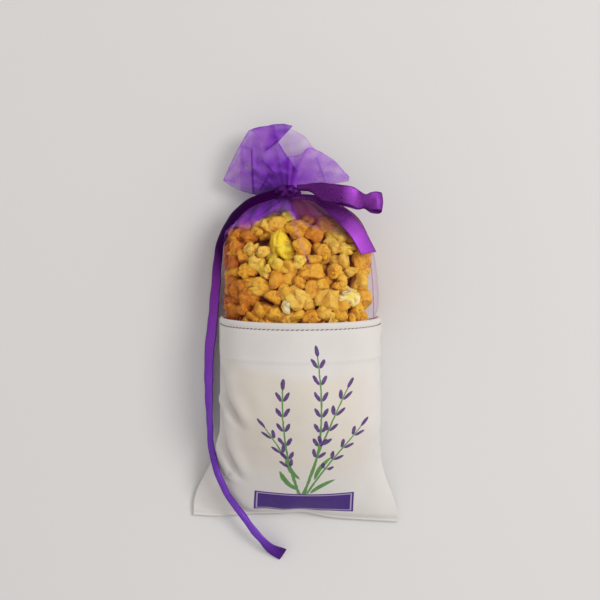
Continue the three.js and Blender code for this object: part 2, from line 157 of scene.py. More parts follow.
def feed(material, **varying):
    """Links tones to the sockets of a material's shader."""
    shader = material.node_tree.nodes["Principled BSDF"]
    for socket, tone in varying.items():
        material.node_tree.links.new(tone.socket, shader.inputs[socket.replace("_", " ")])


def speckled_finish(name, scale, dark, light, **constants):
    """Finish whose colour wavers between two shades, with the given number of grains to a metre."""
    material, tone = new_finish(name, **constants)
    grains = tone.speckle(tone.on_object(), scale)
    feed(material, Base_Color=grains.between(dark, light))
    return material


def grid(*parts):
    """Points of a grid from their x, y and z, or places on a cloth from their two parts."""
    return np.stack(np.broadcast_arrays(*parts), -1)


def sheet_faces(rows, columns, first=0):
    """Quads of a grid of points, numbered from the first. They face to where columns crossed with
    rows points."""
    index = first + np.arange(rows * columns).reshape(rows, columns)
    corners = [index[:-1, :-1], index[:-1, 1:], index[1:, 1:], index[1:, :-1]]
    return np.stack(corners, -1).reshape(-1, 4).tolist()


millimetre = 0.001


def make_piece(name, points, faces, material, cloth=None, **marks):
    """Smooth object of points in millimetres. cloth gives each point its place on the cloth, in
    millimetres, as a UV map, and a mark gives it a number of its own or the one for all."""
    mesh = bpy.data.meshes.new(name)
    mesh.from_pydata((points.reshape(-1, 3) * millimetre).tolist(), [], faces)
    mesh.polygons.foreach_set("use_smooth", np.ones(len(mesh.polygons), bool))
    if cloth is not None:
        corner = np.empty(len(mesh.loops), np.int32)
        mesh.loops.foreach_get("vertex_index", corner)
        flat = cloth.reshape(-1, 2)[corner].astype(np.float32)
        mesh.uv_layers.new(name="cloth").data.foreach_set("uv", flat.ravel())
    for mark, values in marks.items():
        layer = mesh.attributes.new(mark, "FLOAT", "POINT")
        values = np.broadcast_to(np.asarray(values, np.float32), points.shape[:-1])
        layer.data.foreach_set("value", values.ravel())
    mesh.materials.append(material)
    mesh.update()
    piece = bpy.data.objects.new(name, mesh)
    scene.collection.objects.link(piece)
    return piece


def make_sheet(name, points, *looks, **marks):
    """Object whose points lie in a grid."""
    return make_piece(name, points, sheet_faces(*points.shape[:2]), *looks, **marks)


table_reach, table_drop = 1200, 0.4
table_finish = speckled_finish("matt_table", 3.0, (217, 214, 212), (221, 219, 217),
                               Roughness=0.9, Specular_IOR_Level=0.1)
table_side = np.linspace(-table_reach, table_reach, 3)
table = make_sheet("table", grid(table_side, table_side[:, None], -table_drop), table_finish)

room = bpy.data.worlds.new("room")
room.use_nodes = True
background = room.node_tree.nodes["Background"].inputs
background["Color"].default_value = (1.0, 0.99, 0.98, 1.0)
background["Strength"].default_value = 0.63
scene.world = room
lamp = bpy.data.lights.new("soft_lamp", "AREA")
lamp.shape, lamp.size, lamp.energy = "DISK", 0.6, 8.5
lamp_object = bpy.data.objects.new("soft_lamp", lamp)
lamp_object.location = (0.82, 0.34, 1.02)
lamp_object.rotation_euler = (-lamp_object.location).to_track_quat("-Z", "Y").to_euler()
scene.collection.objects.link(lamp_object)


# Cotton pouch: two panels of bleached plain-weave cotton, sewn together at the sides and the
# bottom, their top edges folded in as a hem. The granules inside crown the front, and the
# front is printed with a bunch of lavender and a dark label band.
pouch_bottom_y, bottom_tilt, rim_y, rim_sag = -61.0, 2.8, 17.0, 2.4
hem_depth, stitch_below_rim, cotton_thickness = 14.0, 1.8, 0.4
body_half_width, corner_flare, flare_length, bottom_lean = 31.6, 10.0, 19.0, -1.8
bag_height, rise_length, side_seam_height, seam_edge = 38.0, 60.0, 13.0, 0.75
neck_x, neck_height, neck_start_y, taper_start_y = -5.0, 15.0, 65.8, 22.0
neck_half_width, neck_top, neck_bottom, rest_height = 6.0, 21.0, 9.0, 1.4
panel_rows, panel_columns = 150, 141


def ease(value, low, high):
    """Smooth step from 0 at low to 1 at high."""
    share = np.clip((value - low) / (high - low), 0, 1)
    return share * share * (3 - 2 * share)


def mix(first, second, share):
    """Value that lies the given share of the way from the first to the second."""
    return first + (second - first) * share


def hump(value, width):
    """Bell curve: 1 where the value is 0, fading to both sides over the width."""
    return np.exp(-((value / width) ** 2))


def unit(vectors):
    """Vectors of length 1 in the same directions."""
    return vectors / np.maximum(np.linalg.norm(vectors, axis=-1, keepdims=True), 1e-9)


def bottom_edge(q):
    """Where the bottom seam lies up the bag: a straight line that tilts down to the right."""
    return pouch_bottom_y - bottom_tilt * q


def rim_edge(q):
    """Where the rim lies up the bag: half an ellipse, lowest in the middle."""
    return rim_y + rim_sag * (1 - np.sqrt(1 - q * q))


def bag_skin(face, q, y, inset=0.0, lift=0.0):
    """Point of the bag's front or back. q goes from -1 at the left side seam to 1 at the right
    one, and y up the bag. The height from the side seam to the crown follows a power of the
    half circle over q. Near the bottom the halves come together in a flared flat seam, and
    towards the neck the width closes like a dome and the height like a cosine."""
    q, y = np.broadcast_arrays(q, y)
    up = np.maximum(0, y - bottom_edge(q))
    flare = np.exp(-((up / flare_length) ** 2.2))
    to_neck = np.clip((y - rim_y) / (neck_start_y - rim_y), 0, 1)
    dome = np.cbrt(1 - to_neck**3)
    to_tie = np.clip((y - taper_start_y) / (neck_start_y - taper_start_y), 0, 1)
    taper = np.cos(np.pi / 2 * to_tie**1.3)
    filled = ease(up, 0, 0.75 * rise_length)
    risen = np.sin(np.pi / 2 * np.minimum(1, up / rise_length) ** 0.8)
    crown = 2 * seam_edge + (bag_height - 2 * seam_edge) * risen
    half_width = mix(neck_half_width, body_half_width, dome) + corner_flare * flare
    centre = bottom_lean * flare + neck_x * (1 - dome)
    seam = mix(neck_height, mix(seam_edge, side_seam_height, filled), dome)
    bulge = np.sqrt(np.maximum(0, 1 - q * q)) ** mix(2.4, mix(1.0, 0.8, dome), filled)
    x = centre + np.maximum(0.3, half_width - inset) * q
    if face == "front":
        top = mix(neck_top, crown, taper)
        z = seam + lift + np.maximum(0, top - inset - seam - lift) * bulge
    else:
        rest = rest_height * ease(y, rim_y - hem_depth, rim_y - hem_depth / 2)
        rest = mix(rest, neck_bottom, (1 - taper) ** 1.6)
        fall = np.maximum(0, seam - lift - rest - inset)
        z = seam - lift - fall * np.minimum(1, mix(1.0, 1.35, dome) * bulge)
    return grid(x, y, z)


def sewn(points, q, y, closed, *skin):
    """Points drawn to halfway between the bag's front and back by the share given, as at a seam."""
    middle = (bag_skin("front", q, y, *skin)[..., 2] + bag_skin("back", q, y, *skin)[..., 2]) / 2
    height = mix(points[..., 2], middle, closed)
    return np.concatenate([points[..., :2], height[..., None]], axis=-1)


def outward(points):
    """Unit normals of a grid of points, columns crossed with rows."""
    return unit(np.cross(np.gradient(points, axis=1), np.gradient(points, axis=0)))


def cloth_lengths(points):
    """Lengths along the cloth from the middle column and from the first row."""
    side = np.linalg.norm(np.diff(points, axis=1), axis=-1)
    along = np.linalg.norm(np.diff(points, axis=0), axis=-1)
    u = np.pad(np.cumsum(side, 1), ((0, 0), (1, 0)))
    v = np.pad(np.cumsum(along, 0), ((1, 0), (0, 0)))
    return np.stack([u - u[:, [u.shape[1] // 2]], v], -1)


def on_grid(points, row, column):
    """Points of a grid at rows and columns that needn't be whole numbers."""
    i = np.clip(np.floor(row).astype(int), 0, points.shape[0] - 2)
    j = np.clip(np.floor(column).astype(int), 0, points.shape[1] - 2)
    a, b = (row - i)[..., None], (column - j)[..., None]
    lower, upper = (mix(points[k, j], points[k, j + 1], b) for k in (i, i + 1))
    return mix(lower, upper, a)


def ripple(x, y, seed, length, count=14):
    """Random soft ripples from about -1 to 1: the sum of waves of about one length that run
    in random directions."""
    random = np.random.default_rng(seed)
    turn, start = random.uniform(0, 2 * np.pi, (2, count))
    number = 2 * np.pi / length / random.uniform(0.7, 1.5, count)
    wave = np.zeros(np.broadcast(x, y).shape)
    for angle, phase, k in zip(turn, start, number):
        wave = wave + np.sin(k * (x * np.cos(angle) + y * np.sin(angle)) + phase)
    return wave / np.sqrt(count)


def cotton_panel(face):
    """Panel of the pouch, from the bottom seam to the rim, then over the rim and down inside as
    the hem's fold. Folds, puckers and the hem's stitching line move it along its normals. Gives
    its points, their places on the cloth, and how much painted shade each gets in a fold."""
    w = np.linspace(-1, 1, panel_columns)[None, :] * (1 if face == "front" else -1)
    q = np.sin(np.pi / 2 * w)
    sag = 1.9 * hump(q - 0.07, 0.2) - 2.7 * ease(-q, 0.2, 0.85)
    bottom, share = bottom_edge(q) + sag, np.linspace(0, 1, panel_rows)[:, None]
    y = mix(bottom, rim_edge(q), share)
    skin = bag_skin(face, q, y, 0, seam_edge)
    uncut = bag_skin(face, q, mix(bottom_edge(q), rim_edge(q), share), 0, seam_edge)
    row = (panel_rows - 1) * (y - bottom_edge(q)) / (rim_edge(q) - bottom_edge(q))
    cloth = on_grid(cloth_lengths(uncut), row, np.arange(panel_columns) + 0 * row)
    u, v = cloth[..., 0], cloth[..., 1]
    x = skin[..., 0]
    below_rim, up = rim_edge(q) - y, y - bottom
    free = ease(1 - np.abs(w), 0, 0.1) * ease(up, 0, 4)
    move = 0.3 * ripple(u, v, 3, 34) * ease(up, 6, 34)
    move += 0.07 * ripple(u, v, 5, 9.0) * ease(up, 10, 34) * ease(below_rim, 14, 22)
    beside_seam = hump(0.93 - np.abs(w), 0.07) * ease(up, 8, 30)
    move += 0.16 * beside_seam * np.sin(2 * np.pi * (v + 2.2 * np.sin(v / 9 + 3 * q)) / 8.3 + 2 * q)
    move += 0.35 * hump(up - 3.5, 3.5) * ripple(u, 0 * v, 8, 15)
    move -= 0.42 * hump(below_rim - stitch_below_rim, 0.7)
    hem_step = ease(-below_rim, -hem_depth - 0.8, -hem_depth + 0.5)
    move += 0.3 * hem_step + 0.2 * hump(below_rim - hem_depth, 0.8)
    # Painted shade: a mask along the two folds at the left, which greys the cloth's colour there.
    shade = np.zeros(move.shape)
    if face == "front":
        upper = 0.87 * (x - np.interp(y, [-24, -16.2, -9.9, -1.1, 6], [-22, -26.2, -29.7, -31.2, -32]))
        lower = 0.95 * (x - np.interp(y, [-45, -40.1, -31, -23.9, -16.9], [-23, -25.9, -29.6, -31, -31.4]))
        upper_run, lower_run = ease(y, -25, -17) * ease(-y, -3, 4), ease(y, -46, -38) * ease(-y, 13, 19)
        for fold, run in ((upper, upper_run), (lower, lower_run)):
            move += run * (0.8 * hump(fold - 3.4, 2.3) + 0.6 * hump(fold + 2.5, 1.3))
            move -= 2.3 * run * hump(fold, 1.3)
            shade = np.maximum(shade, run * hump(fold - 0.4, np.where(fold > 0.4, 1.7, 1.0)))
        from_pucker = x + 30.0, y + 44.0
        reach, turn = np.hypot(*from_pucker), np.arctan2(*from_pucker[::-1])
        move += 0.3 * hump(reach, 7) * np.cos(4 * turn + 0.6) - 0.5 * hump(reach, 3.5)
    skin = skin + outward(skin) * (move * free)[..., None]
    closed = np.maximum(1 - ease(1 - np.abs(w), 0, 0.07), 1 - ease(up, 0, 3))
    skin = sewn(skin, q, y, closed, 0, seam_edge)
    skin[..., 2] = np.maximum(skin[..., 2], 0)
    rise = np.linspace(0, np.pi, 9)[1:, None]
    over = bag_skin(face, q, rim_edge(q) + 0.8 * np.sin(rise), 0.75 * (1 - np.cos(rise)), seam_edge)
    moved = skin[-1:] - bag_skin(face, q, rim_edge(q), 0, seam_edge)
    over = over + moved * (1 + np.cos(rise))[..., None] / 2
    inside = bag_skin(face, q, rim_edge(q) - np.array([[1.5], [4.0], [8.0]]), 1.5, seam_edge)
    fold_rows = len(over) + len(inside)
    lengths = np.concatenate([cloth, np.repeat(cloth[-1:] + np.array([0, 1.0]), fold_rows, axis=0)])
    return np.concatenate([skin, over, inside]), lengths, np.pad(shade, ((0, fold_rows), (0, 0)))


# The cotton's weave is raised with slubs in its yarn. The fill shows through the front as a warm
# tint, and painted shade greys the cloth in the folds at the left.
cotton_rate = 7.9
cotton_finish, tone = new_finish("bleached_cotton", Roughness=0.9, Specular_IOR_Level=0.2, Sheen_Weight=0.15)
cloth, u, v = tone.on_cloth()
weave = (u * cotton_rate).math("SINE") * (v * cotton_rate).math("SINE")
yarn = tone.node("ShaderNodeMapping", {}, {0: cloth, "Scale": (0.35, 2.6, 1.0)})
slub = tone.speckle(yarn, 1.0, 3.0)
white = tone.speckle(cloth, 0.09, 3.0).between((212, 206, 202), (222, 217, 213))
white = (slub.rise(0.45, 0.75) * 0.12).between(white, (196, 190, 184))
printed = tone.mark("printed")
fill = v.rise(20.0, 40.0) * (1 - v.rise(69.0, 73.0)) * (1 - abs(u).rise(18.0, 34.0)) * printed
white = (fill * 0.5).between(white, (216, 203, 184))
# Painted shade in the folds at the left.
white = (tone.mark("fold_shade") * 0.45).between(white, (164, 151, 163))

# Print on the front: a bunch of five lavender stems, each a bowed line with pairs of buds and
# a bud at its tip, leaves at the foot, and below it a plain dark label band with a pale border.
wander = tone.speckle(cloth, 0.5)
ink_u, ink_v = u + (wander - 0.5) * 0.7, v + (wander - 0.5) * 0.5
stems = leaves = buds = None


def join(mask, other):
    """Larger of two masks, or the other one while there is no first."""
    return other if mask is None else mask.math("MAXIMUM", other)


def oval(along, across, length, width):
    """Full inside an ellipse of the given half sizes, fading out at its edge."""
    return 1 - ((along / length) ** 2 + (abs(across) / width) ** 2).rise(0.75, 1.15)


def from_foot(foot_u, foot_v, lean):
    """Distances along and across a line that leans to the right by so many degrees from its foot."""
    sine, cosine = np.sin(np.radians(lean)), np.cos(np.radians(lean))
    along = (ink_u - foot_u) * sine + (ink_v - foot_v) * cosine
    across = (ink_u - foot_u) * cosine - (ink_v - foot_v) * sine
    return along, across


bud_spacing, bud_reach, bud_cosine, bud_sine = 6.4, 1.55, 0.85, 0.53
for foot_u, foot_v, lean, length, bow in (
        (0.5, 19.0, -25, 34, 2.4), (1.2, 18.5, -9, 49, -2.6), (2.2, 18.5, 4, 62, 3.4),
        (3.2, 18.5, 18, 51, -3.2), (4.0, 19.0, 33, 38, -2.6)):
    along, across = from_foot(foot_u, foot_v, lean)
    across = across - along * (length - along) * (4 * bow / length**2)
    inside = along.rise(-0.4, 0.2) * (1 - along.rise(length - 0.6, length))
    stems = join(stems, inside * (1 - (abs(across) + along * (0.24 / length)).rise(0.38, 0.62)))
    pitch = length / round(length / bud_spacing)
    part = along / pitch
    step = (part - part.math("FLOOR") - 0.5) * pitch
    out = abs(across) - bud_reach
    pair = oval(step * bud_cosine + out * bud_sine, out * bud_cosine - step * bud_sine, 2.1, 0.8)
    flowering = along.rise(0.4 * length - 0.1, 0.4 * length) * (1 - along.rise(length - 0.1, length))
    buds = join(buds, pair * flowering)
    buds = join(buds, oval(along - length - 1.6, across, 2.2, 0.85))
for foot_u, foot_v, lean, length, width in (
        (0.0, 20.0, -40, 6.5, 1.2), (4.5, 20.0, 52, 6.0, 1.1), (-0.2, 27.0, -30, 6.0, 1.0),
        (5.2, 28.0, 28, 6.5, 1.0)):
    along, across = from_foot(foot_u, foot_v, lean)
    along = along - length
    leaves = join(leaves, oval(along, across - along * along * 0.03, length, width))
green = wander.between((34, 108, 34), (92, 152, 54))
violet = tone.speckle(cloth, 0.8).rise(0.3, 0.7).between((58, 34, 98), (98, 58, 130))
front = (stems.math("MAXIMUM", leaves) * printed * 0.92).between(white, green)
front = (buds * printed * 0.94).between(front, violet)
label_u, label_v, label_half_length, label_bend = 3.2, 12.6, 20.0, 1.6
across = abs(u - label_u)
along = abs(v - u * 0.03 - label_v + (across / label_half_length) ** 2 * label_bend)
band = (1 - across.rise(19.9, 20.3)) * (1 - along.rise(5.7, 6.1))
border = band * across.rise(18.6, 18.8).math("MAXIMUM", along.rise(4.5, 4.8))
border = border * (1 - across.rise(19.2, 19.4)) * (1 - along.rise(5.1, 5.3))
ink = tone.speckle(cloth, 0.6, 3.0).between((58, 24, 106), (74, 38, 128))
front = (band * printed).between(front, ink)
front = (border * printed * 0.85).between(front, (184, 164, 206))
feed(cotton_finish, Base_Color=front, Normal=(weave * 0.5 + slub).bump(0.25, 0.0001))


def thicken(piece, millimetres, offset=0.0):
    """Gives a sheet its thickness."""
    wall = piece.modifiers.new("thickness", "SOLIDIFY")
    wall.thickness, wall.offset, wall.use_even_offset = millimetres * millimetre, offset, False


cotton_grids = {}
for face in ("front", "back"):
    points, lengths, shade = cotton_panel(face)
    cotton_grids[face] = points
    panel = make_sheet(f"cotton_{face}", points, cotton_finish, lengths,
                       printed=face == "front", fold_shade=shade)
    thicken(panel, cotton_thickness, -1.0)
    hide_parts(f"cotton_{face}_panel")
    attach(panel, "bag")


# Seam threads: white cotton sewing thread, run through both panels inside the side seams and the
# bottom seam, where little of it shows.
def colour_node(name, finish):
    """Gives a piece that keeps its plain solid a finish."""
    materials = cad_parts[name].data.materials
    materials.clear()
    materials.append(finish)


thread_finish = speckled_finish("sewing_thread", 900.0, (205, 200, 196), (228, 225, 220),
                                Roughness=0.75, Specular_IOR_Level=0.3)
for seam in ("left", "right", "bottom"):
    colour_node(f"seam_thread_{seam}", thread_finish)


# Hem stitching: a row of short dark stitches through the folded hem, just under the rim, each
# pulled down into the cloth at its ends and a little aslant.
stitch_count = 50


def stitch_row(face):
    """Stitches along the hem: each a bar with a round section, whose middle stands on the cloth
    and whose ends sink into it."""
    middle = np.linspace(-1, 1, stitch_count)[:, None] * 0.93
    along = np.linspace(-1, 1, 7)[None, :]
    w = middle + along * 0.91 / stitch_count
    q = np.sin(np.pi / 2 * w)
    outside = cotton_grids[face][:panel_rows]
    row = (panel_rows - 1) * (1 - (stitch_below_rim - 0.12 * along) / (rim_edge(q) - bottom_edge(q)))
    column = (w + 1) / 2 * (panel_columns - 1)
    up = on_grid(outward(outside), row, column)
    line = on_grid(outside, row, column) + up * (0.06 - 0.26 * along**6)[..., None]
    thin = 0.17 * np.sqrt(1 - 0.6 * along**2)
    turn = np.linspace(0, 2 * np.pi, 7)[:-1, None]
    beside = unit(np.cross(up, np.gradient(line, axis=1)))
    ring = np.cos(turn) * beside[:, :, None] + np.sin(turn) * up[:, :, None]
    return line[:, :, None] + thin[..., None, None] * ring


def tube_faces(rows, columns, first=0):
    """Faces of rings of points, each joined to the next and round to its own start. The ends run
    together in two more points, the last ones."""
    ring = first + np.arange(rows * columns).reshape(rows, columns)
    turned = np.roll(ring, -1, axis=1)
    faces = np.stack([ring[:-1], turned[:-1], turned[1:], ring[1:]], -1).reshape(-1, 4).tolist()
    end = np.full(columns, first + rows * columns)
    faces += np.stack([turned[0], ring[0], end], -1).tolist()
    return faces + np.stack([ring[-1], turned[-1], end + 1], -1).tolist()


stitch_finish = speckled_finish("dark_thread", 700.0, (84, 62, 78), (128, 104, 116),
                                Roughness=0.6, Specular_IOR_Level=0.35)
for face in ("front", "back"):
    rings = stitch_row(face)
    steps, columns = rings.shape[1:3]
    ends = rings[:, [0, -1]].mean(axis=2)
    points = np.concatenate([rings.reshape(stitch_count, -1, 3), ends], axis=1)
    faces = [corners for k in range(stitch_count)
             for corners in tube_faces(steps, columns, k * points.shape[1])]
    stitches = make_piece(f"hem_stitches_{face}", points, faces, stitch_finish)
    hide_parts(f"hem_stitch_{face}")
    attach(stitches, "bag")


# Granules: scented crumbs of crushed plant fill, irregular chunks from amber to bright yellow.
# The larger ones lie against the front organza; the bed behind them fills the bag.
def ball(rows, columns):
    """Directions on a ball, ring by ring, then its two poles."""
    tilt = (np.arange(rows)[:, None] + 0.5) / rows * np.pi
    turn = np.arange(columns)[None, :] / columns * 2 * np.pi
    ring = grid(np.sin(tilt) * np.cos(turn), np.sin(tilt) * np.sin(turn), -np.cos(tilt))
    return np.concatenate([ring.reshape(-1, 3), [[0, 0, -1], [0, 0, 1]]])


def crumb(random, rows, columns):
    """Chunk of about unit radius. In each direction it reaches to the far side of three blocks
    that lie through one another, each cut by ten flats at random, and waves roughen it. Gives
    its points and the painted shade of each, in a crease where two blocks meet or a wave's dip."""
    direction = ball(rows, columns)
    flats = unit(random.normal(size=(3, 10, 3)))
    middles = random.normal(0, 0.2, (3, 1, 3))
    away = np.maximum(0.12, random.uniform(0.36, 0.62, (3, 10)) + (flats * middles).sum(-1))
    limits = np.maximum(np.einsum("dx,bfx->bdf", direction, flats), 0) / away[:, None, :]
    reaches = np.sort(((limits**24).sum(-1) + 1.1**24) ** (-1 / 24), axis=0)
    depth = 0.014 * np.sin(direction @ random.normal(0, 5, (3, 9)) + random.uniform(0, 6.3, 9)).sum(1)
    depth += 0.016 * np.sin(direction @ random.normal(0, 13, (3, 9)) + random.uniform(0, 6.3, 9)).sum(1)
    chunk = direction * (reaches[-1] * (1 + depth))[:, None]
    creased = 0.5 * hump(reaches[-1] - reaches[-2], 0.04)
    return chunk / np.abs(chunk).max() * random.uniform(0.8, 1.2, 3), np.clip(creased - 3 * depth, 0, 0.6)


granule_finish, tone = new_finish("scented_granule", Specular_IOR_Level=0.3, Subsurface_Weight=0.25,
                                  Subsurface_Radius=(1.0, 0.5, 0.15), Subsurface_Scale=0.002)
place = tone.on_object()
tint = tone.mark("tint")
grain = tone.speckle(place, 900.0, 4.0, 0.65)
patch = tone.speckle(place, 260.0, 3.0)
amber = tone.node(
    "ShaderNodeValToRGB",
    {"stops": [(0.0, (164, 80, 22)), (0.25, (216, 137, 30)), (0.5, (238, 180, 51)), (0.7, (240, 201, 92)),
               (0.83, (253, 222, 24)), (0.92, (248, 227, 120)), (1.0, (250, 243, 214))]},
    {0: tint + (patch - 0.5) * 0.3 + (grain - 0.5) * 0.2})
# Painted shade: creases and gaps turn the amber towards deep brown.
feed(granule_finish, Base_Color=tone.mark("hollow").between(amber, (158, 52, 4)),
     Roughness=0.5 + grain * 0.35, Normal=(grain * 0.7 + patch).bump(0.7, 0.001))


def shoulder(w, y):
    """How far to the right of the bag's skin the organza's left side lies: a little low down, and
    to the left of it higher up."""
    low_down = 0.8 * ease(-w, 0.5, 1) * hump(y - 31, 9)
    return low_down - 1.6 * ease(-w, 0.1, 1) * hump(y - 54, 10)


# Seats are places on the inside of the organza, all round the bag, at which a granule may lie.
seat_w = np.linspace(-0.99, 0.99, 110)[None, :]
seat_y = np.linspace(rim_y - 3, 62.5, 92)[:, None]
seats, facing = [], []
for face, sign in (("front", 1), ("back", -1)):
    cloth_points = bag_skin(face, np.sin(np.pi / 2 * seat_w * sign), seat_y, 0.5, 0.3)
    cloth_points[..., 0] += shoulder(seat_w * sign, seat_y)
    seats.append(cloth_points.reshape(-1, 3))
    facing.append(outward(cloth_points).reshape(-1, 3))
seats, facing = np.concatenate(seats), np.concatenate(facing)


def seated(k, chunk, depth=0.0):
    """Chunk moved in from seat k on the cloth until it lies clear of the organza and the hem."""
    gap = mix(2.3, 0.5, ease(seats[k, 1], rim_y + 1, rim_y + 8)) + 1.2 * ease(seats[k, 1], 57, 61)
    gap -= 0.3 * ease(-facing[k, 0], 0.5, 0.9)
    return seats[k] - facing[k] * ((chunk @ facing[k]).max() + gap + depth) + chunk


granule_names = sorted(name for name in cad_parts
                       if name.startswith("granule_") and name != "granule_bed")
random = np.random.default_rng(41)
yellow_one, white_one, large_rows, large_columns = 25, 13, 28, 42
tints = np.clip(random.normal(0.52, 0.1, len(granule_names)), 0.25, 0.72)
tints[[yellow_one, 17, 24, white_one]] = 0.83, 0.76, 0.72, 0.93
granule_centres, granule_sizes = [], []
for k, name in enumerate(granule_names):
    low, high = (np.array(corner) * 1000 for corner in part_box(name))
    middle = (low + high) / 2
    size = (high - low).max() * ({white_one: 0.95, yellow_one: 1.0}.get(k) or random.uniform(0.6, 0.8))
    seat = np.argmin(np.linalg.norm(seats - middle, axis=1))
    # Painted shade: granules towards the left side, away from the lamp, take darker tints.
    tints[k] -= 0.3 * ease(-seats[seat, 0], 16, 27)
    chunk, crumb_painted_shade = crumb(random, large_rows, large_columns)
    if k == yellow_one:
        chunk[:, 0] *= np.clip(0.92 - 0.62 * chunk[:, 1], 0.25, 1.5)
        seat = np.argmin(np.linalg.norm(seats - middle - np.array([1.5, 2.8, 0]), axis=1))
    points = seated(seat, chunk * size)
    granule_centres.append(points.mean(axis=0))
    granule_sizes.append(size * (1.25 if k == yellow_one else 1))
    nugget = make_piece(f"crumb_{name[-2:]}", points, tube_faces(large_rows, large_columns), granule_finish,
                        tint=tints[k], hollow=crumb_painted_shade)
    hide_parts(name)
    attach(nugget, "bag")


# Granule bed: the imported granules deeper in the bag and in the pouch, as one mass with a lump for
# each granule on its outside.
granule_room, seam_room, bed_end_y, grain_radius = 10.7, 3.5, 53.1, 4.4
bed_rows, side_columns, lump_count = 130, 81, 420
around = np.sin(np.pi / 2 * np.linspace(-1, 1, side_columns))
bed_share = np.linspace(0, 1, bed_rows)[:, None]


def bed_side(face):
    """Side of the bed: the bag's skin set in by the room that seams and visible granules take."""
    q = (around if face == "front" else around[::-1])[None, :-1]
    y = mix(bottom_edge(q) + 5.85, bed_end_y, bed_share)
    behind = ease(y, rim_y - 12.3, rim_y - 4.1)
    ahead = y + behind * 4.1
    front = bag_skin("front", q, ahead, mix(seam_room, granule_room, behind))
    height = front[..., 2] if face == "front" else bag_skin("back", q, ahead, seam_room)[..., 2]
    return grid(front[..., 0], y, height)


bed = np.concatenate([bed_side("front"), bed_side("back")], axis=1)
rows, columns = bed.shape[:2]
seeds = bed.reshape(-1, 3)[np.random.default_rng(7).choice(rows * columns, lump_count, replace=False)]
gap = np.linalg.norm(bed[:, :, None] - seeds, axis=-1)
nearest = np.argmin(gap, -1)
first, second = np.moveaxis(np.partition(gap, 1, -1)[..., :2], -1, 0)
lump = (np.sqrt(np.maximum(0, grain_radius**2 - first**2)) - 2.6) * ease(bed[..., 1], 0, 14)
bed = bed + outward(np.concatenate([bed[:, -1:], bed, bed[:, :1]], axis=1))[:, 1:-1] * lump[..., None]
# The bed takes darker tints than the crumbs in front, and painted shade where its lumps meet and a little all
# over.
bed_tint = np.random.default_rng(9).uniform(0.15, 0.55, len(seeds))[nearest].ravel()
bed_painted_shade = (1 - ease(second - first, 0.1, 1.5)).ravel() * 0.5 + 0.25
granule_pile = make_piece("granule_pile", np.concatenate([bed.reshape(-1, 3), bed[[0, -1]].mean(axis=1)]),
                          tube_faces(rows, columns), granule_finish,
                          tint=np.append(bed_tint, [0.3, 0.3]), hollow=np.append(bed_painted_shade, [0.5, 0.5]))
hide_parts("granule_bed")
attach(granule_pile, "bag")


# Smaller crumbs: they fill the room between the larger ones, all round the bag behind the
# organza, and more lie behind them. Each goes where it clears the ones already there. The first
# one is the peak of the heap.
peak_x, peak_y, heap_right_x = -9.0, 57.4, 28.6
pale_x, pale_y, pale_reach = -4.9, 23.9, 2.4


def pile_top(x):
    """Height up the bag at which the heap of granules ends, at each place across it."""
    return np.interp(x, [-28, -25, -22, -20, -16.7, -13.6, -11, -6.6, -4.7, -2.3, 2, 8, 12, 17.5, 25, 29],
                     [52.5, 55.5, 56.5, 56, 56.5, 58.7, 60.3, 61.8, 61.5, 60.5, 60, 60, 59.5, 57, 52.5, 47])


random = np.random.default_rng(23)
front_seats = np.flatnonzero(facing[:, 2] >= 0)
peak = front_seats[np.argmin(np.hypot(seats[front_seats, 0] - peak_x, seats[front_seats, 1] - peak_y))]
heap = [(peak, 5.0, 0, True)]
heap_centres = [*granule_centres, seats[peak] - facing[peak] * 4.7]
heap_sizes = [*granule_sizes, 4.4]
everywhere = np.arange(len(seats))
left_side = np.flatnonzero((facing[:, 0] < -0.75) & (seats[:, 1] > rim_y + 3) & (seats[:, 1] < 55))
for size, tries, depth, spacing, places in (
        (4.6, 1600, 0, 0.62, everywhere), (4.0, 1600, 0, 0.62, everywhere), (3.4, 1400, 0, 0.62, everywhere),
        (2.7, 900, 0, 0.62, everywhere), (4.4, 1200, 3.5, 0.66, everywhere), (3.4, 1000, 4, 0.66, everywhere),
        (3.8, 400, 0, 0.46, left_side), (3.0, 400, 0, 0.46, left_side)):
    for k in places[random.integers(len(places), size=tries)]:
        radius = size * random.uniform(0.85, 1.1)
        centre = seats[k] - facing[k] * (radius + 0.5 + depth)
        room = np.linalg.norm(np.array(heap_centres) - centre, axis=1)
        room -= spacing * (np.array(heap_sizes) + radius)
        under_top = centre[1] + 0.6 * radius < pile_top(centre[0])
        if room.min() > 0 and under_top and centre[0] + radius < heap_right_x:
            heap_centres.append(centre)
            heap_sizes.append(radius)
            heap.append((k, 1.12 * radius, depth, facing[k, 2] > -0.3 and depth == 0))
small_points, small_faces, small_tint, small_painted_shade = [], [], [], []
for k, size, depth, in_sight in heap:
    rows, columns = (14, 20) if in_sight else (6, 9)
    chunk, crumb_painted_shade = crumb(random, rows, columns)
    small_faces += tube_faces(rows, columns, sum(map(len, small_points)))
    small_points.append(seated(k, chunk * size, depth))
    x, y = seats[k, :2]
    # Painted shade: darker tints towards the left side, away from the lamp.
    tint = np.clip(random.normal(0.5, 0.12), 0.1, 0.76) - 0.3 * ease(-x, 16, 27)
    pale = np.hypot(x - pale_x, y - pale_y) < pale_reach
    small_tint.append(np.full(len(chunk), 0.97 if pale else tint))
    small_painted_shade.append(crumb_painted_shade)
small_crumbs = make_piece("small_crumbs", np.concatenate(small_points), small_faces, granule_finish,
                          tint=np.concatenate(small_tint), hollow=np.concatenate(small_painted_shade))
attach(small_crumbs, "bag")


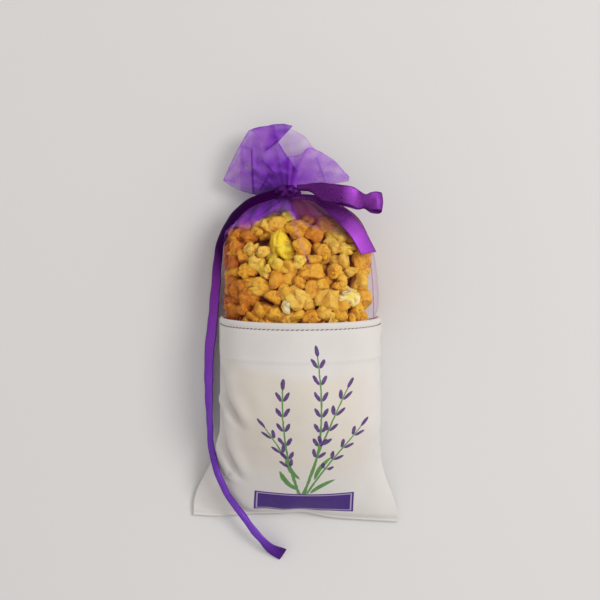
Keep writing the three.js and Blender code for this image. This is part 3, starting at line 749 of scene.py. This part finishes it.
# Organza panels: sheer violet organza, sewn inside the hem and drawn together at the neck. It
# lies over the granules, and shows darkest where it is gathered and several layers deep.
organza_rate, tuck_depth, organza_lift, organza_end_y = 9.0, 13.0, 0.4, 70.6
organza_rows, organza_columns, below_share, neck_share = 150, 181, 0.85, 0.15
organza_finish, tone = new_finish("violet_organza", Roughness=0.45, Specular_IOR_Level=0.15, Sheen_Weight=0.1)
cloth, u, v = tone.on_cloth()
cover = tone.mark("cover")
net = (u * organza_rate).math("SINE") * (v * organza_rate).math("SINE")
mottle = tone.speckle(cloth, 0.5, 3.0)
sheer = cover * (0.85 + mottle * 0.3) + net * 0.02
violet = (cover * 1.15 + mottle * 0.2 - 0.15).between((190, 88, 232), (108, 16, 172))
violet = cover.rise(0.84, 1.02).between(violet, (74, 8, 114))
# Painted shadow of the bow: to the right of the neck the colour turns plum.
feed(organza_finish, Base_Color=tone.mark("plum").between(violet, (116, 22, 84)),
     Alpha=sheer.math("MINIMUM", 0.97), Normal=(net + mottle * 2.0).bump(0.2, 0.0001))


def crease(x, y, lines, width):
    """Nearness, from 0 to 1, to the closest of straight creases from point to point."""
    near = np.zeros(np.broadcast(x, y).shape)
    for x0, y0, x1, y1, strength in lines:
        dx, dy = x1 - x0, y1 - y0
        share = np.clip(((x - x0) * dx + (y - y0) * dy) / (dx * dx + dy * dy), 0, 1)
        away = np.hypot(x - x0 - share * dx, y - y0 - share * dy)
        near = np.maximum(near, strength * hump(away, width))
    return near


def organza_panel(face):
    """Panel from inside the hem to the tie: the bag's skin, drawn out at the shoulders, in pleats
    that deepen towards the neck. Gives its points, their places on the cloth, and where each
    column lies from one side seam, -1, to the other, 1."""
    w = np.linspace(-1, 1, organza_columns)[None, :] * (1 if face == "front" else -1)
    q = np.sin(np.pi / 2 * w)
    start = rim_edge(q) - tuck_depth
    share = np.linspace(0, 1, organza_rows)[:, None]
    below_neck = mix(start, neck_start_y, np.sin(np.minimum(share / below_share, 1) * np.pi / 2))
    in_neck = mix(neck_start_y, organza_end_y, (share - below_share) / neck_share)
    y = np.where(share < below_share, below_neck, in_neck)
    inset = mix(1.7, 0.4, ease(y, rim_y + 2.5, rim_y + 8) * (1 - ease(y, 60, 65)))
    skin = bag_skin(face, q, y, inset, organza_lift)
    skin[..., 0] += shoulder(w, y)
    skin[..., 0] += 2.4 * (ease(w, 0.1, 1) - ease(-w, 0.1, 1)) * ease(y, 61, 65) * (1 - ease(y, 66.2, 67.2))
    gathered = ease(y, 44, 62) * (1 - 0.75 * ease(y, 62, 66.2))
    pleat = np.sin(np.pi * (6 * w + 1.6 * np.sin(3.1 * w + 1))) + 0.6 * np.sin(np.pi * 13 * w + 4 * w * w)
    move = 0.32 * gathered * pleat + 0.12 * ripple(skin[..., 0], y, 61, 7.0)
    skin = skin + outward(skin) * move[..., None]
    closed = (1 - ease(1 - np.abs(w), 0, 0.06)) * (1 - ease(y, 60, 64))
    skin = sewn(skin, q, y, closed, inset, organza_lift)
    return skin, cloth_lengths(skin), w


points, lengths, w = organza_panel("front")
x, y = points[..., 0], points[..., 1]
veil = np.interp(x, [-29, -25, -20, -13.6, -10, -6.6, -4.5, -2.3, 2, 8, 17.5, 25, 29],
                 [53, 55.6, 54.6, 59, 61.4, 63, 61.8, 58.2, 57.5, 54, 50.5, 47.5, 45])
above = ease(y - veil, -2.0, 2.0)
cover = 0.008 + 0.12 * ease(w, 0.55, 0.98) + 0.06 * ease(-w, 0.68, 0.98)
cover = cover + above * mix(0.64, mix(0.42, 0.74, ease(y, 56, 62)), ease(x, -8, 2)) + 0.1 * ease(y, 57, 66)
pleat_lines = [(-4, 66, -1, 57, 0.6), (-1, 57, 7, 54, 0.6), (-8, 65, -17, 58, 0.6), (2, 65, 12, 58, 0.6),
               (-11, 65, -22, 56, 0.5), (0, 65, 4, 58, 0.5), (-3, 66, -3, 58, 0.6),
               (-2.7, 56.7, 3.4, 39.9, 0.4)]
cover += 0.35 * crease(x, y, pleat_lines, 0.5)
# The painted shadow of the bow lies to the right of this ridge line, high on the bag.
ridge = np.interp(y, [44, 54, 57, 66], [14, 6, -2.2, -5.5])
organza_front = make_sheet("organza_front", points, organza_finish, lengths, cover=np.clip(cover, 0, 0.95),
                           plum=ease(x - ridge, 0, 3) * ease(y, 43, 49))
points, lengths, w = organza_panel("back")
cover = 0.07 + 0.17 * ease(np.abs(w), 0.8, 1) + 0.7 * ease(points[..., 1], 48, 62)
organza_back = make_sheet("organza_back", points, organza_finish, lengths, cover=cover)
for face, panel in (("front", organza_front), ("back", organza_back)):
    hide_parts(f"organza_{face}_panel")
    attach(panel, "bag")


# Organza seam threads: fine violet thread, run through both organza panels inside their side
# seams, and nearly as sheer as the cloth.
violet_thread = speckled_finish("violet_thread", 900.0, (176, 122, 196), (200, 156, 214),
                                Roughness=0.7, Specular_IOR_Level=0.2, Alpha=0.4)
for seam in ("left", "right"):
    colour_node(f"organza_seam_thread_{seam}", violet_thread)


# Ruffle: the free ends of the two organza panels above the tie, which spread from the neck in
# a crumpled fan, crisp where they are creased.
ruffle_y, ruffle_foot_y, ruffle_step, ruffle_half_turn = 70.9, 69.5, 0.4, 79


def fan(turns, reaches, columns, rows, edge, sign, lines):
    """Fan of cloth from the neck: turn goes from left to right in degrees, or back where the sign
    is -1, the reach at each turn is read off between the given ones, the height falls from the
    neck to the edge's, and flat facets between creases fold it."""
    turn = np.linspace(*(turns[0], turns[-1])[::sign], columns)[None, :]
    share = np.linspace(0, 1, rows)[:, None]
    reach = np.interp(turn, turns, reaches) * ruffle_step
    part = turn / ruffle_half_turn * np.pi / 2
    angle = np.radians(turn)
    open_part = np.clip(2 * np.cos(part), 0.1, 1)
    base = grid(neck_x + 4.3 * np.sin(part), ruffle_y - 1.5, neck_height + sign * 3.9 * np.cos(part))
    tip = grid(neck_x + reach * np.sin(angle), ruffle_foot_y + reach * np.cos(angle),
               mix(6.6, edge, open_part))
    points = mix(base, tip, share[..., None])
    x, y = points[..., 0], points[..., 1]
    gathers = np.sin(0.36 * turn + 1.3 * np.sin(0.09 * turn)) * share**0.7 * (1.2 - 0.5 * share)
    crumple = ripple(x, y, 31 + sign, 9.0) * share
    points[..., 2] += open_part * (0.75 * gathers + 0.55 * crumple) + 0.6 * crease(x, y, lines, 1.1)
    return points


def neck_place(right, above):
    """Place so many steps to the right of and above the middle of the neck."""
    return neck_x + ruffle_step * right, ruffle_foot_y + ruffle_step * above


def from_neck(*creases):
    """Creases with strengths, whose two ends are given in steps from the neck."""
    return [(*neck_place(a, b), *neck_place(c, d), strength) for a, b, c, d, strength in creases]


def spread(values, share):
    """Values that are spaced evenly from 0 to 1, read off at the given shares."""
    return np.interp(share, np.linspace(0, 1, len(values)), values)


def turned_edge(*places):
    """Line through places given in steps from the neck, with heights."""
    share = np.linspace(0, 1, 60)
    right, above, height = (spread(column, share) for column in np.array(places).T)
    return grid(*neck_place(right, above), height)


front_lines = from_neck((-35.5, 42, -34, -2, 1.0), (-27, 2, -20, 12, 0.7), (-45, 45, -44, 22, 0.5),
                        (-8.8, 48.6, 9.8, 19, 0.7), (29, 33.6, 37, 11, 0.8), (-35.5, 42, -45, 45, 0.6),
                        (20, 44, 8, 22, 0.5), (-22, 40, -9, 49, 0.6), (-25, 30, -8, 12, 0.4))
left_turns = [-95, -90, -86, -79, -70, -62, -53, -45.6, -38, -32, -22, -11, -10.3, -5.8, 0.8, 11.1, 27.3]
left_reach = [29, 40.5, 51, 66, 64, 63.5, 64, 66, 69, 72, 70, 67.5, 49.4, 41.4, 33.8, 26.9, 21.4]
right_turns = [-4, 2, 10, 16, 19.4, 22, 25, 28, 33, 45, 55, 65, 70, 75, 79]
right_reach = [33, 35.5, 37, 38.2, 39.8, 43.2, 48.8, 50.5, 51, 53, 56, 59, 61, 64, 62]
back_turns = [-79, -60, -45, -32, -15, 0, 4.5, 10, 16.3, 25, 35, 50, 60, 70, 75.5, 79]
back_reach = [66, 62, 64, 70, 66, 66, 64.5, 63, 60.4, 55, 52.4, 55, 58, 61, 64.5, 63]
left_part = fan(left_turns, left_reach, 190, 70, 11.5, 1, front_lines)
right_part = fan(right_turns, right_reach, 140, 60, 10.5, 1, front_lines)
back_part = fan(back_turns, back_reach, 200, 60, 3.4, -1, [])
flap = mix(turned_edge((-19, 42.6, 14.5), (-8.8, 48.6, 14.2), (-1.5, 57, 13.3), (5.2, 64.6, 12.4)),
           turned_edge((-36, 61, 12.0), (-14, 66.6, 12.1), (-3.5, 67.2, 12.1), (4.6, 65.4, 12.3)),
           np.linspace(0, 1, 40)[:, None, None])
flap[..., 2] += 0.4 * ripple(flap[..., 0], flap[..., 1], 77, 7.0) + 0.5


def ruffle_cover(part, level, lines):
    """How closely a part covers what is behind it: more at its creases, at the neck and along the
    free edge, the last of its rows."""
    x, y = part[..., 0], part[..., 1]
    free_edge = ease(np.linspace(0, 1, len(part)), 0.965, 1)[:, None]
    near_neck = hump(np.hypot(x - neck_x, y - ruffle_y), 12)
    cover = level + 0.2 * free_edge + 0.06 * ripple(x, y, 51, 5.0) + 0.34 * near_neck
    return np.clip(cover + 0.35 * crease(x, y, lines, 0.35), 0.12, 0.96)


left_level = np.interp(left_part[..., 0] - neck_x, [-19.2, -18.6, -14.4, -13.8], [0.43, 0.57, 0.57, 0.68])
flap_level = mix(0.4, 0.86, ease(flap[..., 0], -15, -9))
front_points, front_faces, front_cover = np.empty((0, 3)), [], []
for part, level in ((left_part, left_level), (right_part, 0.43), (flap, flap_level)):
    front_faces += sheet_faces(*part.shape[:2], len(front_points))
    front_points = np.concatenate([front_points, part.reshape(-1, 3)])
    front_cover += ruffle_cover(part, level, front_lines).ravel().tolist()
ruffle_front = make_piece("ruffle_front", front_points, front_faces, organza_finish, front_points[:, :2],
                          cover=front_cover)
ruffle_back = make_sheet("ruffle_back", back_part, organza_finish, back_part[..., :2],
                         cover=ruffle_cover(back_part, 0.25, []))
for face, layer in (("front", ruffle_front), ("back", ruffle_back)):
    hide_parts(f"ruffle_{face}_layer")
    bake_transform(layer)


# Ribbon: violet satin, seven millimetres wide, turned twice round the neck, knotted in front
# and tied in a bow with one loop.
ribbon_width, ribbon_thickness, ribbon_columns = 7.0, 0.3, 13
satin_finish, tone = new_finish("violet_satin", Metallic=0.5, Specular_IOR_Level=0.01,
                                Specular_Tint=(0.3, 0.05, 0.45, 1.0))
cloth, u, v = tone.on_cloth()
yarn = tone.node("ShaderNodeMapping", {}, {0: cloth, "Scale": (1.0, 2.6, 1.0)})
float_length = tone.speckle(yarn, 1.1, 3.0, 0.6)
ribs = (v * 15.0).math("SINE")
selvedge = abs(u).rise(3.0, 3.35)
# Painted light: each piece gives its painted sheen, dark where the satin lies in shade and bright where it is
# lit, flecked by the weave's grain. The painted shade blue turns the lit colour bluer.
bright = tone.mark("cool").between((172, 80, 204), (138, 84, 216))
violet = (tone.mark("sheen") + (float_length - 0.5) * 0.8).between((52, 4, 64), bright)
feed(satin_finish, Base_Color=(selvedge * 0.4).between(violet, (66, 8, 96)),
     Roughness=0.3 + float_length * 0.24, Normal=(float_length + ribs * 0.15).bump(0.4, 0.0002))

# The wrap's section goes along its outside from edge to edge, then back along its inside.
wrap_y, wrap_half_width, wrap_radius, wrap_half_wall, wrap_columns = 68.5, 1.9, 5.25, 0.22, 25
turn = np.linspace(0, 2 * np.pi, 121)[:-1]
w = np.linspace(-1, 1, wrap_columns)
section = np.concatenate([w, w[::-1][1:-1]])[:, None]
wall = np.repeat([1.0, -1.0], [wrap_columns, wrap_columns - 2])[:, None]
swell = 0.2 * np.sin(9 * section + 0.8 * np.sin(turn)) * (1 - section**2) + 0.12 * np.sin(7 * turn)
radius = wrap_radius + wall * wrap_half_wall + swell * (wall > 0)
wrap = grid(neck_x + radius * np.sin(turn), wrap_y + wrap_half_width * section,
            neck_height + radius * np.cos(turn))
wrap_index = np.arange(radius.size).reshape(radius.shape)
below, right = np.roll(wrap_index, -1, 0), np.roll(wrap_index, -1, 1)
wrap_faces = np.stack([wrap_index, right, np.roll(below, -1, 1), below], -1).reshape(-1, 4).tolist()
wrap_cloth = grid(3.3 * section, 5.2 * turn)
# An even, dim painted sheen on the wrap.
neck_ribbon = make_piece("neck_ribbon", wrap, wrap_faces, satin_finish, wrap_cloth, sheen=0.25)
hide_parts("ribbon_neck_wrap")
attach(neck_ribbon, "bag")


# Knot: a firm lump in front of the neck, where the ribbon is drawn through itself. The loop and
# both tails come out of it.
knot_rows, knot_columns = 28, 44
knot_centre, knot_half_size = np.array([-5.2, 68.6, 23.7]), np.array([4.7, 2.5, 2.1])
direction = ball(knot_rows, knot_columns)
knot_x, knot_y = direction[:, 0], direction[:, 1]
knot_wave = 0.02 * np.sin(6 * knot_y + 2.4 * knot_x) + 0.07 * np.sin(8 * knot_x - 4 * knot_y + 1)
knot_points = knot_centre + direction * knot_half_size * (1 + knot_wave)[:, None]
# Painted shade on the knot: dark, lighter on the crests of its folds, with the painted shade blue.
knot = make_piece("knot", knot_points, tube_faces(knot_rows, knot_columns), satin_finish,
                  direction[:, [1, 0]] * 0.7, sheen=0.1 + 0.7 * knot_wave, cool=0.6)
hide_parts("ribbon_knot")
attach(knot, "bag")


# Bow loop: the ribbon goes out to the right over the shoulder of the bag and comes back under
# itself. It is pinched at the knot and twisted near its far end.
def even_line(points, count):
    """Points spaced evenly along a smooth curve through the given ones, and their distances. The
    slope at each point is the centripetal Catmull-Rom one, and a cubic joins them."""
    wide = np.vstack([2 * points[0] - points[1], points, 2 * points[-1] - points[-2]])
    step = np.linalg.norm(np.diff(wide, axis=0), axis=1) ** 0.5
    before, after = step[:-1, None], step[1:, None]
    come, go = (wide[1:-1] - wide[:-2]) / before, (wide[2:] - wide[1:-1]) / after
    slope = come - (wide[2:] - wide[:-2]) / (before + after) + go
    time = np.concatenate([[0], np.cumsum(step[1:-1])])
    fine = np.linspace(0, time[-1], 60 * len(points))
    k = np.clip(np.searchsorted(time, fine, "right") - 1, 0, len(points) - 2)
    span = (time[k + 1] - time[k])[:, None]
    s = (fine - time[k])[:, None] / span
    curve = ((2 * s**3 - 3 * s**2 + 1) * points[k] + (s**3 - 2 * s**2 + s) * span * slope[k]
             + (3 * s**2 - 2 * s**3) * points[k + 1] + (s**3 - s**2) * span * slope[k + 1])
    run = np.concatenate([[0], np.cumsum(np.linalg.norm(np.diff(curve, axis=0), axis=1))])
    even = np.linspace(0, run[-1], count)
    return np.stack([np.interp(even, run, curve[:, axis]) for axis in range(3)], -1), even


loop_line = np.array([
    [-1.0, 70.0, 24.4], [3.2, 69.8, 26.8], [6.4, 68.8, 28.8], [9.8, 67.4, 30.6], [14.5, 66.8, 31.6],
    [19.6, 66.0, 31.2], [23.0, 64.4, 29.9], [26.0, 64.1, 29.8], [29.2, 64.3, 30.3], [31.2, 63.8, 29.2],
    [30.2, 63.0, 27.8], [24.0, 63.9, 28.3], [17.0, 65.6, 29.5], [10.5, 67.2, 28.9], [4.9, 69.2, 26.2],
    [-1.0, 69.8, 23.5]])
line, distance = even_line(loop_line, 150)
along = unit(np.gradient(line, axis=0))
share = np.linspace(0, 1, len(line))
w = np.linspace(-1, 1, ribbon_columns)[None, :]
tilt = np.radians(52) * hump(line[:, 0] - 24.5, 2.6)
across = grid(0.12 * np.sin(6 * share), np.cos(tilt), np.sin(tilt) + 0.1 * np.sin(9 * share + 0.6))
across = unit(across)
up = np.cross(along, across)
cupped = 0.35 * (1 - w**2) + 0.15 * ripple(distance[:, None], 3.5 * w, 5, 8.0)
pinch = np.interp(np.minimum(share, 1 - share), [0, 0.06, 0.11, 0.17], [0.26, 0.3, 0.62, 1])[:, None]
half_across = pinch * w * ribbon_width / 2
loop_points = line[:, None] + across[:, None] * half_across[..., None] + up[:, None] * cupped[..., None]
loop_cloth = grid(w * ribbon_width / 2, distance[:, None])
# Painted sheen on the loop: dark near the knot, where it faces away from the lamp, and bright where it turns
# towards it.
loop_painted_sheen = np.interp(loop_points[..., 0], [2, 12, 15.8, 19, 21.4, 24, 28, 32],
                       [0.24, 0.22, 0.16, 0.66, 0.68, 0.56, 0.46, 0.4])
bow_loop = make_sheet("bow_loop", loop_points, satin_finish, loop_cloth, sheen=loop_painted_sheen)
thicken(bow_loop, ribbon_thickness)
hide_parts("ribbon_bow_loop")
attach(bow_loop, "bow_loop")


# Short tail of the ribbon: it runs from the knot down to the right, under the loop, and its end
# is cut off aslant.
def ribbon_band(line, distance, rolls, widths, cup, seed, slant=0.0, curl=0.0):
    """Ribbon carried along a line: at each point its width, a share of the full one, lies level and
    square to the line, turned about the line by the roll. It is cupped and waved a little across,
    curls in where it is narrowed, and its end is cut off aslant."""
    along = unit(np.gradient(line, axis=0))
    level = unit(np.stack([along[:, 1], -along[:, 0], 0 * along[:, 0]], -1))
    share = np.linspace(0, 1, len(line))
    roll = np.radians(spread(rolls, share))[:, None]
    side = level * np.cos(roll) + np.cross(along, level) * np.sin(roll)
    up = np.cross(side, along)
    w = np.linspace(-1, 1, ribbon_columns)[None, :]
    width = spread(widths, share)[:, None]
    across = w * width * ribbon_width / 2
    lift = cup * (1 - w**2) + curl * (1 - width) * (1 / 3 - w**2)
    lift = lift + 0.12 * ripple(distance[:, None], 3.5 * w, seed, 9.0)
    further = slant * w * ease(share, 0.85, 1)[:, None]
    points = (line[:, None] + side[:, None] * across[..., None] + up[:, None] * lift[..., None]
              + along[:, None] * further[..., None])
    return points, grid(across, distance[:, None] + further)


short_line = np.array([
    [-3.6, 66.3, 22.2], [1.5, 66.5, 22.5], [6.6, 65.3, 23.6], [12.3, 61.6, 25.4], [17.7, 57.2, 26.8],
    [22.3, 51.6, 27.8], [26.2, 44.4, 27.5]])
line, distance = even_line(short_line, 90)
short_points, short_cloth = ribbon_band(line, distance, [-10, -14, -18, -22, -26, -30, -34],
                                        [0.26, 0.3, 0.55, 0.88, 1, 1, 1], 0.3, 12, slant=-1.0)
# Painted sheen on the short tail: dark near the knot, bright towards its end.
short_painted_sheen = np.interp(distance, [0, 10, 24.4, 28.2, 42], [0.22, 0.2, 0.26, 0.82, 0.72])[:, None]
short_tail = make_sheet("short_tail", short_points, satin_finish, short_cloth, sheen=short_painted_sheen)
thicken(short_tail, ribbon_thickness)
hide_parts("ribbon_short_tail")
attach(short_tail, "short_tail")


# Long tail of the ribbon: it runs round the left shoulder, down beside the bag, over its lower
# corner and out past the bottom edge, where it is cut off.
long_line = np.array([
    [-9.3, 67.9, 22.6], [-14.8, 66.3, 22.0], [-20.0, 64.0, 20.6], [-24.7, 60.3, 18.4], [-28.5, 55.4, 15.6],
    [-31.4, 49.5, 12.0], [-33.0, 41.3, 8.0], [-34.1, 30.5, 4.8], [-35.5, 16.8, 3.42], [-36.6, 6.4, 3.42],
    [-37.0, -4.0, 3.42], [-37.0, -14.0, 3.42], [-36.7, -24.0, 4.8], [-35.6, -34.0, 8.6],
    [-32.8, -43.0, 12.0], [-29.3, -51.0, 10.6], [-25.2, -57.6, 7.6], [-20.4, -64.6, 5.9],
    [-15.6, -70.8, 4.4], [-11.8, -74.4, 3.2], [-6.9, -76.7, 2.4]])
line, distance = even_line(long_line, 300)
tail_rolls = [46, 58, 63, 60, 55, 53, 54, 58, 60, 60, 54, 48, 45, 44, 36]
tail_widths = [0.8, 1, 1, 1, 1, 1, 1, 1, 0.9, 0.62, 0.42, 0.35, 0.37, 0.6, 1]
tail_points, tail_cloth = ribbon_band(line, distance, tail_rolls, tail_widths, 0.3, 19, curl=2.8)
# Painted light on the long tail: dark on the shoulder, bright down the side, dimmer at its end, one edge
# lighter than the other, and bluer further down, as in shade.
tail_painted_sheen = np.interp(distance, [0, 34, 48, 64, 90, 106, 122, 150, 160, 172],
                       [-0.04, -0.04, 0.52, 0.8, 0.98, 0.9, 0.6, 0.66, 0.76, 0.3])[:, None]
long_tail = make_sheet("long_tail", tail_points, satin_finish, tail_cloth,
                       sheen=tail_painted_sheen + 0.1 * np.linspace(-1, 1, ribbon_columns),
                       cool=ease(distance, 30, 120)[:, None])
thicken(long_tail, ribbon_thickness)
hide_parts("ribbon_long_tail_upper", "ribbon_long_tail_lower")
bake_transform(long_tail)
